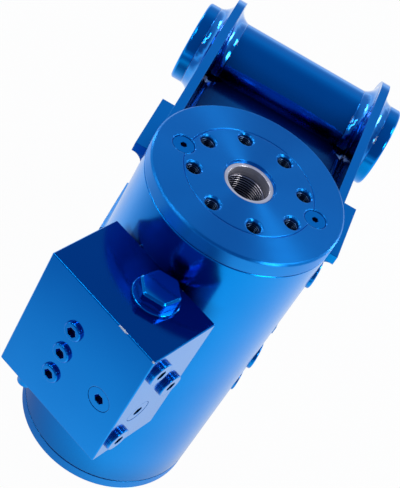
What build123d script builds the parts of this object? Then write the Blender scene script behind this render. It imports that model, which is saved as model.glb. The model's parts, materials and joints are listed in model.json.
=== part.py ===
from build123d import *
import os
from math import cos, pi, radians, sqrt

os.makedirs("parts", exist_ok=True)

# Helical hydraulic rotator for a work platform, in millimetres.
# Z is the turning axis and height 0 is the rear face of the shaft flange.
# X runs along the bracket's cross tube, and Y points from the axis to that tube.

# Overall sizes
overall_length = 323.0
body_r = 80.0
seam_gap = 0.7
rim_chamfer = 1.5
seam_chamfer = 0.6

# Clearances
fit_gap = 0.02
running_gap = 0.05
free_gap = 0.4
seat_gap = 0.3
end_clearance = 4.0
cut_margin = 1.0

# Housing walls, measured inward from its outside
front_wall = 12.0
rear_wall = 9.5
mouth_wall = 5.0
mouth_depth = 2.5

# Radial steps from the housing's bore to the shaft
sleeve_inset = 5.6
sleeve_wall = 8.0
joint_step = 0.5

# Shaft
rear_flange_thickness = 11.6
rear_hub_length = 24.4
shaft_bore_r = 15.5
face_recess_r = 21.8
face_recess_depth = 2.0
collar_r = 20.4
collar_bore_r = 17.2
collar_length = 30.0

# End cap
cap_thickness = 13.3
front_hub_length = 25.7

# Tapped holes in both turning faces
bolt_count = 8
bolt_hole_r = 6.0
bolt_hole_depth = 22.0
bolt_start_angle = 22.5
front_bolt_inset = 8.3
front_bolt_sink = 1.4
rear_bolt_inset = 15.1
rear_bolt_sink = 0.4

# Lock pins across the joint of shaft and end cap, each under its set screw
lock_offset = 3.3
lock_hole_r = 9.3
lock_hole_depth = 18.0
lock_sink = 0.7
lock_pin_length = 8.5
lock_screw_length = 8.6
lock_screw_chamfer = 0.5
lock_hex = 5.0
lock_hex_depth = 4.0

# Helical teeth: shaft to sleeve of one hand, sleeve to ring gear of the other
tooth_count = 12
tooth_height = 4.0
tooth_lead = 240.0
tooth_flare = 1.2
flank_gap = 0.6
output_turn = 90.0

# Piston sleeve
inner_teeth_length = 60.0
head_length = 30.0
neck_length = 10.0

# Ring gear
ring_gear_foot = 24.0
ring_gear_setback = 10.0

# Seals and bearing rings
wear_ring_width = 8.0
wear_ring_depth = 2.2
seal_width = 5.5
seal_depth = 5.0
ring_margin = 5.4
ring_spacing = 4.0
end_cap_seal_r = 1.3

# Cross tube and its bushes
tube_y = 245.0
tube_setback = 91.0
tube_r = 38.75
tube_bore_r = 30.0
tube_overhang = 21.5
tube_end_round = 2.5
bush_bore_r = 25.0
bush_length = 40.0
bush_inset = 1.5

# Bracket plates
ear_thickness = 8.0
ear_margin = 15.7
ear_foot_y = 26.0
wing_foot_y = 16.0
wing_length = 64.0
front_wing_overhang = 11.0
rear_wing_overhang = 4.5
wing_thickness = 8.9
web_thickness = 10.0
web_snipe = 16.0

# Weld beads, with the share of the leg at which a bead's hollow face dips
tube_weld_leg = 10.5
wing_weld_leg = 8.0
ear_weld_leg = 9.0
web_weld_leg = 6.0
bead_sag = 0.9
bead_dip = 0.36

# Valve block: n is the distance out from the axis, w runs across the block
block_angle = -113.7
block_sink = 2.0
block_depth = 68.0
block_left_w = -45.2
block_right_w = 65.1
block_front_setback = 52.4
block_height = 132.2
block_edge = 0.8

# Screws that hold the block, with the margins of the first and last from its ends
block_screw_w = -0.6
block_screw_top = 41.9
block_screw_foot = 36.3
block_screw_count = 3
screw_r = 5.0
screw_hole_r = 5.5
screw_head_r = 8.0
screw_head_height = 10.0
screw_head_proud = 3.0
screw_head_chamfer = 0.9
screw_hex = 8.0
screw_hex_depth = 5.0
screw_grip = 8.0

# Plugs of the block, each place with its share of the block's height down from the top
plug_r = 10.75
plug_height = 3.7
plug_chamfer = 0.7
plug_groove = 0.4
plug_groove_rise = 0.9
port_r = 8.3
plug_shank = 11.0
port_depth = 14.0
gallery_r = 3.5
gallery_depth = 26.0
plug_hex = 8.0
plug_hex_depth = 5.0
flush_plug_length = 12.0
flush_plug_drop = 0.15
flush_plug_neck = 1.5
side_plug_shares = [(51.3, 0.175), (18.7, 0.476), (52.0, 0.841)]
side_flush_share = (41.0, 0.635)
front_flush_share = (43.5, 0.565)
bottom_plug_w = -21.0
bottom_plug_rise = 58.0
bottom_plug_r = 7.0
bottom_plug_height = 10.0
bottom_plug_hex = 6.0
bottom_port_r = 5.0

# Cartridge valve in the block's front end
cartridge_rise = 24.5
cartridge_w = 23.2
cartridge_turn = -8.0
cartridge_hex = 30.0
cartridge_hex_height = 10.0
cartridge_corner_r = 16.6
cartridge_chamfer = 1.5
cartridge_washer_r = 19.2
cartridge_washer_height = 2.3
cartridge_r = 15.0
cartridge_length = 45.0
cartridge_nose_r = 12.0
cartridge_nose_length = 36.0

# Ports between block and housing
port_seal_r = 7.0
port_seal_section = 1.5
housing_port_r = 3.0
high_port_drop = 9.0
low_port_rise = 16.6

# Low plugs on the housing's right side, and the ring gear's pin below them
front_plug_setback = 49.0
rear_plug_rise = 7.0
body_plug_sink = 1.2
body_plug_r = 12.75
body_plug_height = 3.4
body_plug_shank_r = 8.0
body_plug_shank = 8.5
ring_pin_drop = 35.0
ring_pin_head_r = 11.5
ring_pin_head_height = 2.2
ring_pin_r = 5.0
ring_pin_bite = 3.0

# Heights worked out from the sizes above
cap_seat_z = overall_length - cap_thickness
housing_top = cap_seat_z - seam_gap
housing_bottom = rear_flange_thickness + seam_gap
rear_hub_top = rear_flange_thickness + rear_hub_length
front_hub_bottom = cap_seat_z - front_hub_length
tube_z = overall_length - tube_setback
block_top = overall_length - block_front_setback
block_bottom = block_top - block_height
high_port_z = block_top - high_port_drop
low_port_z = block_bottom + low_port_rise
stroke = tooth_lead * output_turn / 2 / 360
ring_gear_top = low_port_z - ring_gear_setback / 2
ring_gear_bottom = rear_hub_top + ring_gear_foot
head_bottom = ring_gear_top + ring_gear_setback + stroke
sleeve_top = head_bottom + head_length
sleeve_bottom = rear_hub_top + end_clearance + stroke
inner_teeth_top = sleeve_bottom + inner_teeth_length
spline_top = ring_gear_top + ring_gear_setback - end_clearance
rear_plug_z = low_port_z + rear_plug_rise
ring_pin_z = rear_plug_z - ring_pin_drop

# Radii worked out from the sizes above
front_bore_r = body_r - front_wall
rear_bore_r = body_r - rear_wall
mouth_r = body_r - mouth_wall
front_hub_r = front_bore_r - free_gap
rear_hub_r = rear_bore_r - free_gap
head_r = front_bore_r - free_gap
sleeve_root_r = front_bore_r - sleeve_inset
sleeve_tip_r = sleeve_root_r + tooth_height
land_r = sleeve_root_r - sleeve_wall
joint_r = land_r - joint_step
spline_tip_r = land_r + tooth_height
sleeve_bore_r = land_r + free_gap
sleeve_relief_r = spline_tip_r + 2 * free_gap
front_bolt_circle_r = joint_r - front_bolt_inset
rear_bolt_circle_r = rear_hub_r - rear_bolt_inset
lock_circle_r = joint_r + lock_offset
ear_end_r = tube_r + ear_margin

# Distances along X and outward, worked out from the sizes above
ear_outer_x = body_r
ear_inner_x = ear_outer_x - ear_thickness
front_wing_x = ear_outer_x + front_wing_overhang
rear_wing_x = ear_outer_x + rear_wing_overhang
wing_top_y = wing_foot_y + wing_length
tube_half_length = ear_outer_x + tube_overhang
block_seat_n = body_r - block_sink
block_face_n = block_seat_n + block_depth
cartridge_n = block_seat_n + cartridge_rise
body_plug_seat = body_r - body_plug_sink
ring_pin_tip_x = rear_bore_r - ring_pin_bite

# Planes of the valve block: local x runs along w and local y up the axis on its front face
out_way = Vector(1, 0, 0).rotate(Axis.Z, block_angle)
cross_way = Vector(0, 1, 0).rotate(Axis.Z, block_angle)
axis_way = Vector(0, 0, 1)
block_seat = Plane(out_way * block_seat_n, x_dir=cross_way, z_dir=out_way)
block_face = Plane(out_way * block_face_n, x_dir=cross_way, z_dir=out_way)
block_side = Plane(cross_way * block_right_w, x_dir=-out_way, z_dir=cross_way)
block_end = Plane(axis_way * block_top, x_dir=out_way, z_dir=axis_way)
block_foot = Plane(axis_way * block_bottom, x_dir=cross_way, z_dir=-axis_way)


def ring(inner_r, outer_r, bottom, top, mode=Mode.ADD):
    """Half section of a turned ring, for a sketch that stands on the axis."""
    with Locations(((inner_r + outer_r) / 2, (bottom + top) / 2)):
        Rectangle(outer_r - inner_r, top - bottom, mode=mode)


def helical_column(valley_r, crest_r, widening, bottom, top, hand):
    """Toothed column whose outline turns once in the lead as it rises."""
    pitch = 2 * pi / tooth_count
    foot = pitch / 4 + radians(tooth_flare + widening / 2)
    tip = pitch / 4 - radians(tooth_flare - widening / 2)
    start = Plane.XY.offset(bottom).rotated((0, 0, hand * 360 * bottom / tooth_lead))
    with BuildPart() as column:
        with BuildSketch(start):
            with BuildLine():
                for index in range(tooth_count):
                    middle = index * pitch
                    feet = [polar(valley_r, middle - foot), polar(valley_r, middle + foot)]
                    tips = [polar(crest_r, middle - tip), polar(crest_r, middle + tip)]
                    Line(feet[0], tips[0])
                    ThreePointArc(tips[0], polar(crest_r, middle), tips[1])
                    Line(tips[1], feet[1])
                    valley_end = polar(valley_r, middle + pitch - foot)
                    ThreePointArc(feet[1], polar(valley_r, middle + pitch / 2), valley_end)
            make_face()
        with BuildLine():
            axis_line = Line((0, 0, bottom), (0, 0, top))
        with BuildLine():
            guide = Helix(
                pitch=tooth_lead,
                height=top - bottom,
                radius=valley_r,
                center=(0, 0, bottom),
                lefthand=hand < 0,
            )
        sweep(path=axis_line, binormal=guide)
    return column.part


def polar(radius, angle):
    """Point of a circle about the origin, with the angle in radians."""
    return Vector(radius, 0, 0).rotate(Axis.Z, angle * 180 / pi)


def hexagon_r(across_flats):
    """Corner radius of a hexagon."""
    return across_flats / 2 / cos(pi / 6)


def groove(hub_r, depth, bottom, width):
    """Groove in the half section of a hub, just wider than the ring it holds."""
    ring(hub_r - depth, body_r, bottom - fit_gap, bottom + width + fit_gap, Mode.SUBTRACT)


def outline(plane, places, radius, sides=0):
    """Circles, or polygons with that corner radius, at the places on a plane."""
    with BuildSketch(plane) as shapes:
        with Locations(*places):
            if sides:
                RegularPolygon(radius, side_count=sides)
            else:
                Circle(radius)
    return shapes.sketch


def drill(plane, places, radius, depth):
    """Round holes into the part being built, from a plane inward."""
    extrude(outline(plane, places, radius), amount=-depth, mode=Mode.SUBTRACT)


def countersink(plane, places, radius, depth):
    """Conical mouths into the part being built, with that radius at the plane."""
    extrude(outline(plane, places, radius), amount=-depth, taper=45, mode=Mode.SUBTRACT)


def socket(plane, places, across_flats, depth):
    """Hexagon sockets into the part being built, from a plane inward."""
    extrude(outline(plane, places, hexagon_r(across_flats), 6), amount=-depth, mode=Mode.SUBTRACT)


def stud(plane, places, radius, height):
    """Round studs onto the part being built, outward, or inward where the height is negative."""
    extrude(outline(plane, places, radius), amount=height)


def tapped_holes(plane, circle_r, sink):
    """Ring of tapped holes into the part being built, each with a conical mouth."""
    with PolarLocations(circle_r, bolt_count, start_angle=bolt_start_angle) as circle:
        places = [place.position for place in circle.locations]
    drill(plane, places, bolt_hole_r, bolt_hole_depth)
    countersink(plane, places, bolt_hole_r + sink, sink)


def outer_rim(part, group, sort_axis=Axis.Z):
    """Widest round edge among the lowest edges, for group 0, or the highest, for group -1."""
    rims = part.edges().filter_by(GeomType.CIRCLE).group_by(sort_axis)[group]
    return rims.sort_by(SortBy.RADIUS)[-1]


lock_places = [(lock_circle_r, 0), (-lock_circle_r, 0)]
front_face = Plane.XY.offset(overall_length)
rear_face = Plane(origin=(0, 0, 0), x_dir=(1, 0, 0), z_dir=(0, 0, -1))
body_side = Plane(origin=(0, 0, 0), x_dir=(0, 1, 0), z_dir=(1, 0, 0))

# Groove heights of the wear ring and the seal on each turning end
rear_wear_z = rear_flange_thickness + ring_margin
rear_seal_z = rear_wear_z + wear_ring_width + ring_spacing
front_wear_z = cap_seat_z - ring_margin - wear_ring_width
front_seal_z = front_wear_z - ring_spacing - seal_width

# Shaft with its rear flange, hub, splines and tapped front end
with BuildPart() as shaft:
    with BuildSketch(Plane.XZ):
        ring(shaft_bore_r, body_r, 0, rear_flange_thickness)
        ring(shaft_bore_r, rear_hub_r, rear_flange_thickness, rear_hub_top)
        ring(shaft_bore_r, land_r - free_gap, rear_hub_top, spline_top)
        ring(shaft_bore_r, land_r, spline_top, front_hub_bottom)
        ring(shaft_bore_r, joint_r, front_hub_bottom, overall_length)
        groove(rear_hub_r, wear_ring_depth, rear_wear_z, wear_ring_width)
        groove(rear_hub_r, seal_depth, rear_seal_z, seal_width)
    revolve(axis=Axis.Z)
    chamfer(outer_rim(shaft, 0), rim_chamfer)
    chamfer(outer_rim(shaft, -1), seam_chamfer)
    add(helical_column(land_r, spline_tip_r, -flank_gap, rear_hub_top, spline_top, -1))
    drill(front_face, [(0, 0)], shaft_bore_r, overall_length)
    drill(front_face, [(0, 0)], face_recess_r, face_recess_depth)
    drill(front_face, [(0, 0)], collar_r + fit_gap, face_recess_depth + collar_length)
    tapped_holes(front_face, front_bolt_circle_r, front_bolt_sink)
    tapped_holes(rear_face, rear_bolt_circle_r, rear_bolt_sink)
    drill(front_face, lock_places, lock_hole_r, lock_hole_depth)
    countersink(front_face, lock_places, lock_hole_r + lock_sink, lock_sink)
shaft.part.label = "shaft"
export_step(shaft.part, "parts/shaft.step")

# Bare steel threaded collar in the front of the centre bore
collar_top = overall_length - face_recess_depth
with BuildPart() as bore_collar:
    with BuildSketch(Plane.XZ):
        ring(collar_bore_r, collar_r, collar_top - collar_length, collar_top)
    revolve(axis=Axis.Z)
    chamfer(bore_collar.edges().group_by(Axis.Z)[-1], seam_chamfer / 2)
bore_collar.part.label = "bore_collar"
export_step(bore_collar.part, "parts/bore_collar.step")

# Front end cap, screwed on the shaft
cap_bore_r = joint_r + running_gap
cap_seal_floor_r = cap_bore_r + 2 * end_cap_seal_r
with BuildPart() as end_cap:
    with BuildSketch(Plane.XZ):
        ring(cap_bore_r, body_r, cap_seat_z, overall_length)
        ring(cap_bore_r, front_hub_r, front_hub_bottom, cap_seat_z)
        groove(front_hub_r, wear_ring_depth, front_wear_z, wear_ring_width)
        groove(front_hub_r, seal_depth, front_seal_z, seal_width)
        groove_top = front_hub_bottom + 2 * end_cap_seal_r + fit_gap
        ring(0, cap_seal_floor_r, front_hub_bottom, groove_top, Mode.SUBTRACT)
    revolve(axis=Axis.Z)
    top_rims = end_cap.edges().filter_by(GeomType.CIRCLE).group_by(Axis.Z)[-1]
    chamfer(top_rims.sort_by(SortBy.RADIUS)[-1], rim_chamfer)
    chamfer(top_rims.sort_by(SortBy.RADIUS)[0], seam_chamfer)
    drill(front_face, lock_places, lock_hole_r, lock_hole_depth)
    countersink(front_face, lock_places, lock_hole_r + lock_sink, lock_sink)
end_cap.part.label = "end_cap"
export_step(end_cap.part, "parts/end_cap.step")

# Sealing ring between end cap and shaft
with BuildPart() as end_cap_seal:
    with BuildSketch(Plane.XZ):
        with Locations((cap_bore_r + end_cap_seal_r, front_hub_bottom + end_cap_seal_r)):
            Circle(end_cap_seal_r)
    revolve(axis=Axis.Z)
end_cap_seal.part.label = "end_cap_seal"
export_step(end_cap_seal.part, "parts/end_cap_seal.step")

# Lock pins and the set screws above them
lock_floor = Plane.XY.offset(overall_length - lock_hole_depth)
with BuildPart() as lock_pins:
    stud(lock_floor, lock_places, lock_hole_r - fit_gap, lock_pin_length)
lock_pins.part.label = "lock_pins"
export_step(lock_pins.part, "parts/lock_pins.step")

screw_seat = lock_floor.offset(lock_pin_length)
screw_top = screw_seat.offset(lock_screw_length)
with BuildPart() as lock_set_screws:
    stud(screw_seat, lock_places, lock_hole_r - fit_gap, lock_screw_length)
    chamfer(lock_set_screws.edges().group_by(Axis.Z)[-1], lock_screw_chamfer)
    socket(screw_top, lock_places, lock_hex, lock_hex_depth)
lock_set_screws.part.label = "lock_set_screws"
export_step(lock_set_screws.part, "parts/lock_set_screws.step")

# Bearing rings and seals of the turning ends: name, bore, hub radius, height, width, depth
end_rings = [
    ("rear_wear_ring", rear_bore_r, rear_hub_r, rear_wear_z, wear_ring_width, wear_ring_depth),
    ("rear_shaft_seal", rear_bore_r, rear_hub_r, rear_seal_z, seal_width, seal_depth),
    ("front_wear_ring", front_bore_r, front_hub_r, front_wear_z, wear_ring_width, wear_ring_depth),
    ("front_shaft_seal", front_bore_r, front_hub_r, front_seal_z, seal_width, seal_depth),
]
for name, bore_r, hub_r, bottom, width, depth in end_rings:
    with BuildPart() as end_ring:
        with BuildSketch(Plane.XZ):
            ring(hub_r - depth + fit_gap, bore_r - running_gap, bottom, bottom + width)
        revolve(axis=Axis.Z)
    end_ring.part.label = name
    export_step(end_ring.part, f"parts/{name}.step")

# Thrust washers in the housing's two mouths
washer_r = mouth_r - seat_gap
with BuildPart() as front_thrust_washer:
    with BuildSketch(Plane.XZ):
        ring(front_bore_r, washer_r, housing_top - mouth_depth, cap_seat_z - seat_gap)
    revolve(axis=Axis.Z)
front_thrust_washer.part.label = "front_thrust_washer"
export_step(front_thrust_washer.part, "parts/front_thrust_washer.step")

with BuildPart() as rear_thrust_washer:
    with BuildSketch(Plane.XZ):
        ring(rear_bore_r, washer_r, rear_flange_thickness + seat_gap, housing_bottom + mouth_depth)
    revolve(axis=Axis.Z)
rear_thrust_washer.part.label = "rear_thrust_washer"
export_step(rear_thrust_washer.part, "parts/rear_thrust_washer.step")

# Piston sleeve: teeth of one hand outside, of the other hand inside, and the piston head
head_wear_z = head_bottom + ring_spacing
head_seal_z = head_wear_z + wear_ring_width + ring_spacing
teeth_end = head_bottom - neck_length
with BuildPart() as piston_sleeve:
    add(helical_column(sleeve_root_r, sleeve_tip_r, -flank_gap, sleeve_bottom, teeth_end, 1))
    with BuildSketch(Plane.XZ):
        ring(0, sleeve_root_r, teeth_end, head_bottom)
        ring(0, head_r, head_bottom, sleeve_top)
        groove(head_r, wear_ring_depth, head_wear_z, wear_ring_width)
        groove(head_r, seal_depth, head_seal_z, seal_width)
    revolve(axis=Axis.Z)
    with BuildSketch(Plane.XZ):
        inner_groove_bottom = head_seal_z - fit_gap
        inner_groove_top = head_seal_z + seal_width + fit_gap
        ring(0, sleeve_bore_r, head_bottom, sleeve_top + cut_margin)
        ring(0, sleeve_relief_r, inner_teeth_top, head_bottom)
        ring(0, sleeve_bore_r + seal_depth, inner_groove_bottom, inner_groove_top)
    revolve(axis=Axis.Z, mode=Mode.SUBTRACT)
    space_bottom = sleeve_bottom - end_clearance
    space_top = inner_teeth_top + end_clearance
    space_tip_r = spline_tip_r + free_gap
    space = helical_column(sleeve_bore_r, space_tip_r, flank_gap, space_bottom, space_top, -1)
    add(space, mode=Mode.SUBTRACT)
piston_sleeve.part.label = "piston_sleeve"
export_step(piston_sleeve.part, "parts/piston_sleeve.step")

# Rings carried by the piston head: name, inner radius, outer radius, height, width
wear_floor_r = head_r - wear_ring_depth + running_gap
seal_floor_r = head_r - seal_depth + running_gap
ring_outer_r = front_bore_r - running_gap
inner_seal_bore_r = land_r + running_gap
inner_seal_outer_r = sleeve_bore_r + seal_depth - fit_gap
head_rings = [
    ("piston_wear_ring", wear_floor_r, ring_outer_r, head_wear_z, wear_ring_width),
    ("piston_outer_seal", seal_floor_r, ring_outer_r, head_seal_z, seal_width),
    ("piston_inner_seal", inner_seal_bore_r, inner_seal_outer_r, head_seal_z, seal_width),
]
for name, inner_r, outer_r, bottom, width in head_rings:
    with BuildPart() as head_ring:
        with BuildSketch(Plane.XZ):
            ring(inner_r, outer_r, bottom, bottom + width)
        revolve(axis=Axis.Z)
    head_ring.part.label = name
    export_step(head_ring.part, f"parts/{name}.step")

# Ring gear, held in the housing by its pin
gear_bore_r = sleeve_root_r + free_gap
gear_space_r = sleeve_tip_r + free_gap
gear_cut_bottom = ring_gear_bottom - end_clearance
gear_cut_top = ring_gear_top + end_clearance
pin_place = [(0, ring_pin_z)]
body_tangent = body_side.offset(body_r)
with BuildPart() as ring_gear:
    with BuildSketch(Plane.XZ):
        ring(sleeve_root_r, rear_bore_r - fit_gap, ring_gear_bottom, ring_gear_top)
    revolve(axis=Axis.Z)
    gap = helical_column(gear_bore_r, gear_space_r, flank_gap, gear_cut_bottom, gear_cut_top, 1)
    add(gap, mode=Mode.SUBTRACT)
    drill(body_tangent, pin_place, ring_pin_r + fit_gap, body_r - ring_pin_tip_x)
ring_gear.part.label = "ring_gear"
export_step(ring_gear.part, "parts/ring_gear.step")

# Housing with the block's seat, ports and plug holes
block_middle = ((block_left_w + block_right_w) / 2, (block_top + block_bottom) / 2)
screw_span = block_height - block_screw_top - block_screw_foot
screw_pitch = screw_span / (block_screw_count - 1)
screw_places = [
    (block_screw_w, block_top - block_screw_top - index * screw_pitch)
    for index in range(block_screw_count)
]
port_places = [(0, high_port_z), (0, low_port_z)]
body_plug_places = [(0, overall_length - front_plug_setback), (0, rear_plug_z)]
plug_bed = body_side.offset(body_plug_seat)
plug_top = body_side.offset(body_plug_seat + body_plug_height)
with BuildPart() as housing:
    with BuildSketch(Plane.XZ):
        ring(front_bore_r, body_r, housing_bottom, housing_top)
        ring(0, rear_bore_r, housing_bottom, ring_gear_top, Mode.SUBTRACT)
        ring(0, mouth_r, housing_bottom, housing_bottom + mouth_depth, Mode.SUBTRACT)
        ring(0, mouth_r, housing_top - mouth_depth, housing_top, Mode.SUBTRACT)
    revolve(axis=Axis.Z)
    chamfer([outer_rim(housing, 0), outer_rim(housing, -1)], seam_chamfer)
    with BuildSketch(block_seat):
        with Locations(block_middle):
            Rectangle(block_right_w - block_left_w, block_height + 2 * seat_gap)
    extrude(amount=body_r, mode=Mode.SUBTRACT)
    drill(block_seat, screw_places, screw_r, screw_grip + seat_gap)
    drill(block_seat, port_places, housing_port_r, block_seat_n - front_bore_r + cut_margin)
    drill(plug_top, body_plug_places, body_plug_r + seat_gap, body_plug_height)
    drill(plug_bed, body_plug_places, body_plug_shank_r, body_plug_shank + seat_gap)
    drill(plug_bed, body_plug_places, housing_port_r, body_plug_seat - front_bore_r + cut_margin)
    drill(plug_top, pin_place, ring_pin_head_r + seat_gap, body_plug_height)
    drill(body_tangent, pin_place, ring_pin_r + fit_gap, rear_wall + cut_margin)
housing.part.label = "housing"
export_step(housing.part, "parts/housing.step")

# Pin that keeps the ring gear from turning
pin_top = plug_bed.offset(ring_pin_head_height)
with BuildPart() as ring_gear_pin:
    stud(plug_bed, pin_place, ring_pin_head_r, ring_pin_head_height)
    chamfer(ring_gear_pin.edges().group_by(Axis.X)[-1], lock_screw_chamfer)
    socket(pin_top, pin_place, lock_hex, ring_pin_head_height / 2)
    stud(plug_bed, pin_place, ring_pin_r, ring_pin_tip_x + fit_gap - body_plug_seat)
ring_gear_pin.part.label = "ring_gear_pin"
export_step(ring_gear_pin.part, "parts/ring_gear_pin.step")

# Low plugs in the housing's two side ports
with BuildPart() as body_port_plugs:
    stud(plug_bed, body_plug_places, body_plug_r, body_plug_height)
    chamfer(body_port_plugs.edges().group_by(Axis.X)[-1], plug_chamfer)
    stud(plug_bed, body_plug_places, body_plug_shank_r - fit_gap, -body_plug_shank)
    socket(plug_top, body_plug_places, plug_hex, plug_hex_depth)
body_port_plugs.part.label = "body_port_plugs"
export_step(body_port_plugs.part, "parts/body_port_plugs.step")


def share_z(share):
    """Height of a place that lies at a share of the block's height below its top."""
    return block_top - share * block_height


# Valve block with its screw holes, plugged ports and cartridge cavity
side_places = [(-(block_seat_n + rise), share_z(share)) for rise, share in side_plug_shares]
side_flush = [(-(block_seat_n + side_flush_share[0]), share_z(side_flush_share[1]))]
front_flush = [(front_flush_share[0], share_z(front_flush_share[1]))]
bottom_place = [(bottom_plug_w, block_seat_n + bottom_plug_rise)]
cartridge_place = [(cartridge_n, cartridge_w)]
cavity_depth = cartridge_length + seat_gap
screw_seat_depth = screw_head_height - screw_head_proud
with BuildPart() as valve_block:
    with BuildSketch(block_seat):
        with Locations(block_middle):
            Rectangle(block_right_w - block_left_w, block_height)
    extrude(amount=block_depth)
    chamfer(valve_block.edges(), block_edge)
    drill(block_face, screw_places, screw_hole_r, block_depth)
    drill(block_face, screw_places, screw_head_r + running_gap, screw_seat_depth)
    for plane, places, port_radius in (
        (block_side, side_places, port_r),
        (block_side, side_flush, plug_r),
        (block_face, front_flush, plug_r),
        (block_foot, bottom_place, bottom_port_r),
    ):
        drill(plane, places, port_radius, port_depth)
        drill(plane, places, gallery_r, gallery_depth)
    drill(block_end, cartridge_place, cartridge_r, cavity_depth)
    drill(block_end, cartridge_place, cartridge_nose_r, cavity_depth + cartridge_nose_length)
    seal_bed = block_seat.offset(2 * port_seal_section - fit_gap)
    seal_groove_r = port_seal_r + port_seal_section + fit_gap
    drill(seal_bed, port_places, seal_groove_r, 2 * port_seal_section)
    drill(block_seat.offset(port_depth), port_places, housing_port_r, port_depth)
valve_block.part.label = "valve_block"
export_step(valve_block.part, "parts/valve_block.step")

# Sealing rings round the two ports under the block
with BuildPart() as port_seals:
    for across, height in port_places:
        centre = block_seat.from_local_coords((across, height, port_seal_section))
        with Locations(Plane(centre, x_dir=cross_way, z_dir=out_way)):
            Torus(port_seal_r, port_seal_section - fit_gap)
port_seals.part.label = "port_seals"
export_step(port_seals.part, "parts/port_seals.step")


def head_rims(part, plane):
    """Round edges of the heads that stand out on that side of the plane."""
    rims = part.edges().filter_by(GeomType.CIRCLE)
    return [rim for rim in rims if plane.to_local_coords(rim.center()).Z > seat_gap]


# Socket head screws through the block into the housing, with their heads a little proud
head_seat = block_face.offset(-screw_seat_depth)
screw_shank = block_depth - screw_seat_depth + screw_grip
with BuildPart() as block_screws:
    stud(head_seat, screw_places, screw_head_r, screw_head_height)
    chamfer(head_rims(block_screws, head_seat), screw_head_chamfer)
    stud(head_seat, screw_places, screw_r - fit_gap, -screw_shank)
    socket(head_seat.offset(screw_head_height), screw_places, screw_hex, screw_hex_depth)
block_screws.part.label = "block_screws"
export_step(block_screws.part, "parts/block_screws.step")

# Protruding plugs on the block's right side, each collar with a groove above its seal
with BuildPart() as side_port_plugs:
    stud(block_side, side_places, plug_r, plug_height)
    chamfer(head_rims(side_port_plugs, block_side), plug_chamfer)
    with BuildSketch(block_side.offset(plug_groove_rise)):
        with Locations(*side_places):
            Circle(plug_r)
            Circle(plug_r - plug_groove, mode=Mode.SUBTRACT)
    extrude(amount=plug_groove, mode=Mode.SUBTRACT)
    stud(block_side, side_places, port_r - fit_gap, -plug_shank)
    socket(block_side.offset(plug_height), side_places, plug_hex, plug_hex_depth)
side_port_plugs.part.label = "side_port_plugs"
export_step(side_port_plugs.part, "parts/side_port_plugs.step")

# Flush plugs, one on the block's side and one on its front
for name, plane, place in (
    ("side_flush_plug", block_side, side_flush),
    ("front_flush_plug", block_face, front_flush),
):
    flush_top = plane.offset(-flush_plug_drop)
    with BuildPart() as flush_plug:
        stud(flush_top, place, plug_r - seat_gap, -flush_plug_length)
        neck = flush_top.offset(-flush_plug_neck)
        stud(neck, place, plug_r - fit_gap, flush_plug_neck - flush_plug_length)
        socket(flush_top, place, plug_hex, plug_hex_depth)
    flush_plug.part.label = name
    export_step(flush_plug.part, f"parts/{name}.step")

# Plug under the block
with BuildPart() as bottom_port_plug:
    stud(block_foot, bottom_place, bottom_plug_r, bottom_plug_height)
    chamfer(bottom_port_plug.edges().group_by(Axis.Z)[0], plug_chamfer)
    stud(block_foot, bottom_place, bottom_port_r - fit_gap, -plug_shank)
    socket(block_foot.offset(bottom_plug_height), bottom_place, bottom_plug_hex, plug_hex_depth)
bottom_port_plug.part.label = "bottom_port_plug"
export_step(bottom_port_plug.part, "parts/bottom_port_plug.step")

# Washer under the cartridge's hexagon
washer_top = block_end.offset(cartridge_washer_height)
with BuildPart() as cartridge_washer:
    stud(block_end, cartridge_place, cartridge_washer_r, cartridge_washer_height)
    chamfer(cartridge_washer.edges().group_by(Axis.Z)[-1], lock_screw_chamfer)
    drill(washer_top, cartridge_place, cartridge_r, cartridge_washer_height)
cartridge_washer.part.label = "cartridge_washer"
export_step(cartridge_washer.part, "parts/cartridge_washer.step")

# Cartridge valve: a hexagon with turned corners, the threaded body and the nose
cartridge_depth = cartridge_washer_height + cartridge_length
with BuildPart() as cartridge_valve:
    with BuildSketch(washer_top):
        with Locations(*cartridge_place):
            RegularPolygon(hexagon_r(cartridge_hex), side_count=6, rotation=cartridge_turn)
            Circle(cartridge_corner_r, mode=Mode.INTERSECT)
    extrude(amount=cartridge_hex_height)
    chamfer(cartridge_valve.edges().group_by(Axis.Z)[-1], cartridge_chamfer)
    stud(washer_top, cartridge_place, cartridge_r - fit_gap, -cartridge_depth)
    nose_depth = cartridge_depth + cartridge_nose_length
    stud(washer_top, cartridge_place, cartridge_nose_r - running_gap, -nose_depth)
cartridge_valve.part.label = "cartridge_valve"
export_step(cartridge_valve.part, "parts/cartridge_valve.step")

# Cross tube and its bushes
with BuildPart() as cross_tube:
    with BuildSketch(Plane.YZ):
        with Locations((tube_y, tube_z)):
            Circle(tube_r)
            Circle(tube_bore_r, mode=Mode.SUBTRACT)
    extrude(amount=tube_half_length, both=True)
    tube_rims = cross_tube.edges().filter_by(GeomType.CIRCLE)
    fillet([rim for rim in tube_rims if rim.radius > (tube_r + tube_bore_r) / 2], tube_end_round)
cross_tube.part.label = "cross_tube"
export_step(cross_tube.part, "parts/cross_tube.step")

for side, name in ((-1, "tube_bush_left"), (1, "tube_bush_right")):
    with BuildPart() as tube_bush:
        with BuildSketch(Plane.YZ.offset(side * (tube_half_length - bush_inset))):
            with Locations((tube_y, tube_z)):
                Circle(tube_bore_r - fit_gap)
                Circle(bush_bore_r, mode=Mode.SUBTRACT)
        extrude(amount=-side * bush_length)
    tube_bush.part.label = name
    export_step(tube_bush.part, f"parts/{name}.step")

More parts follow.
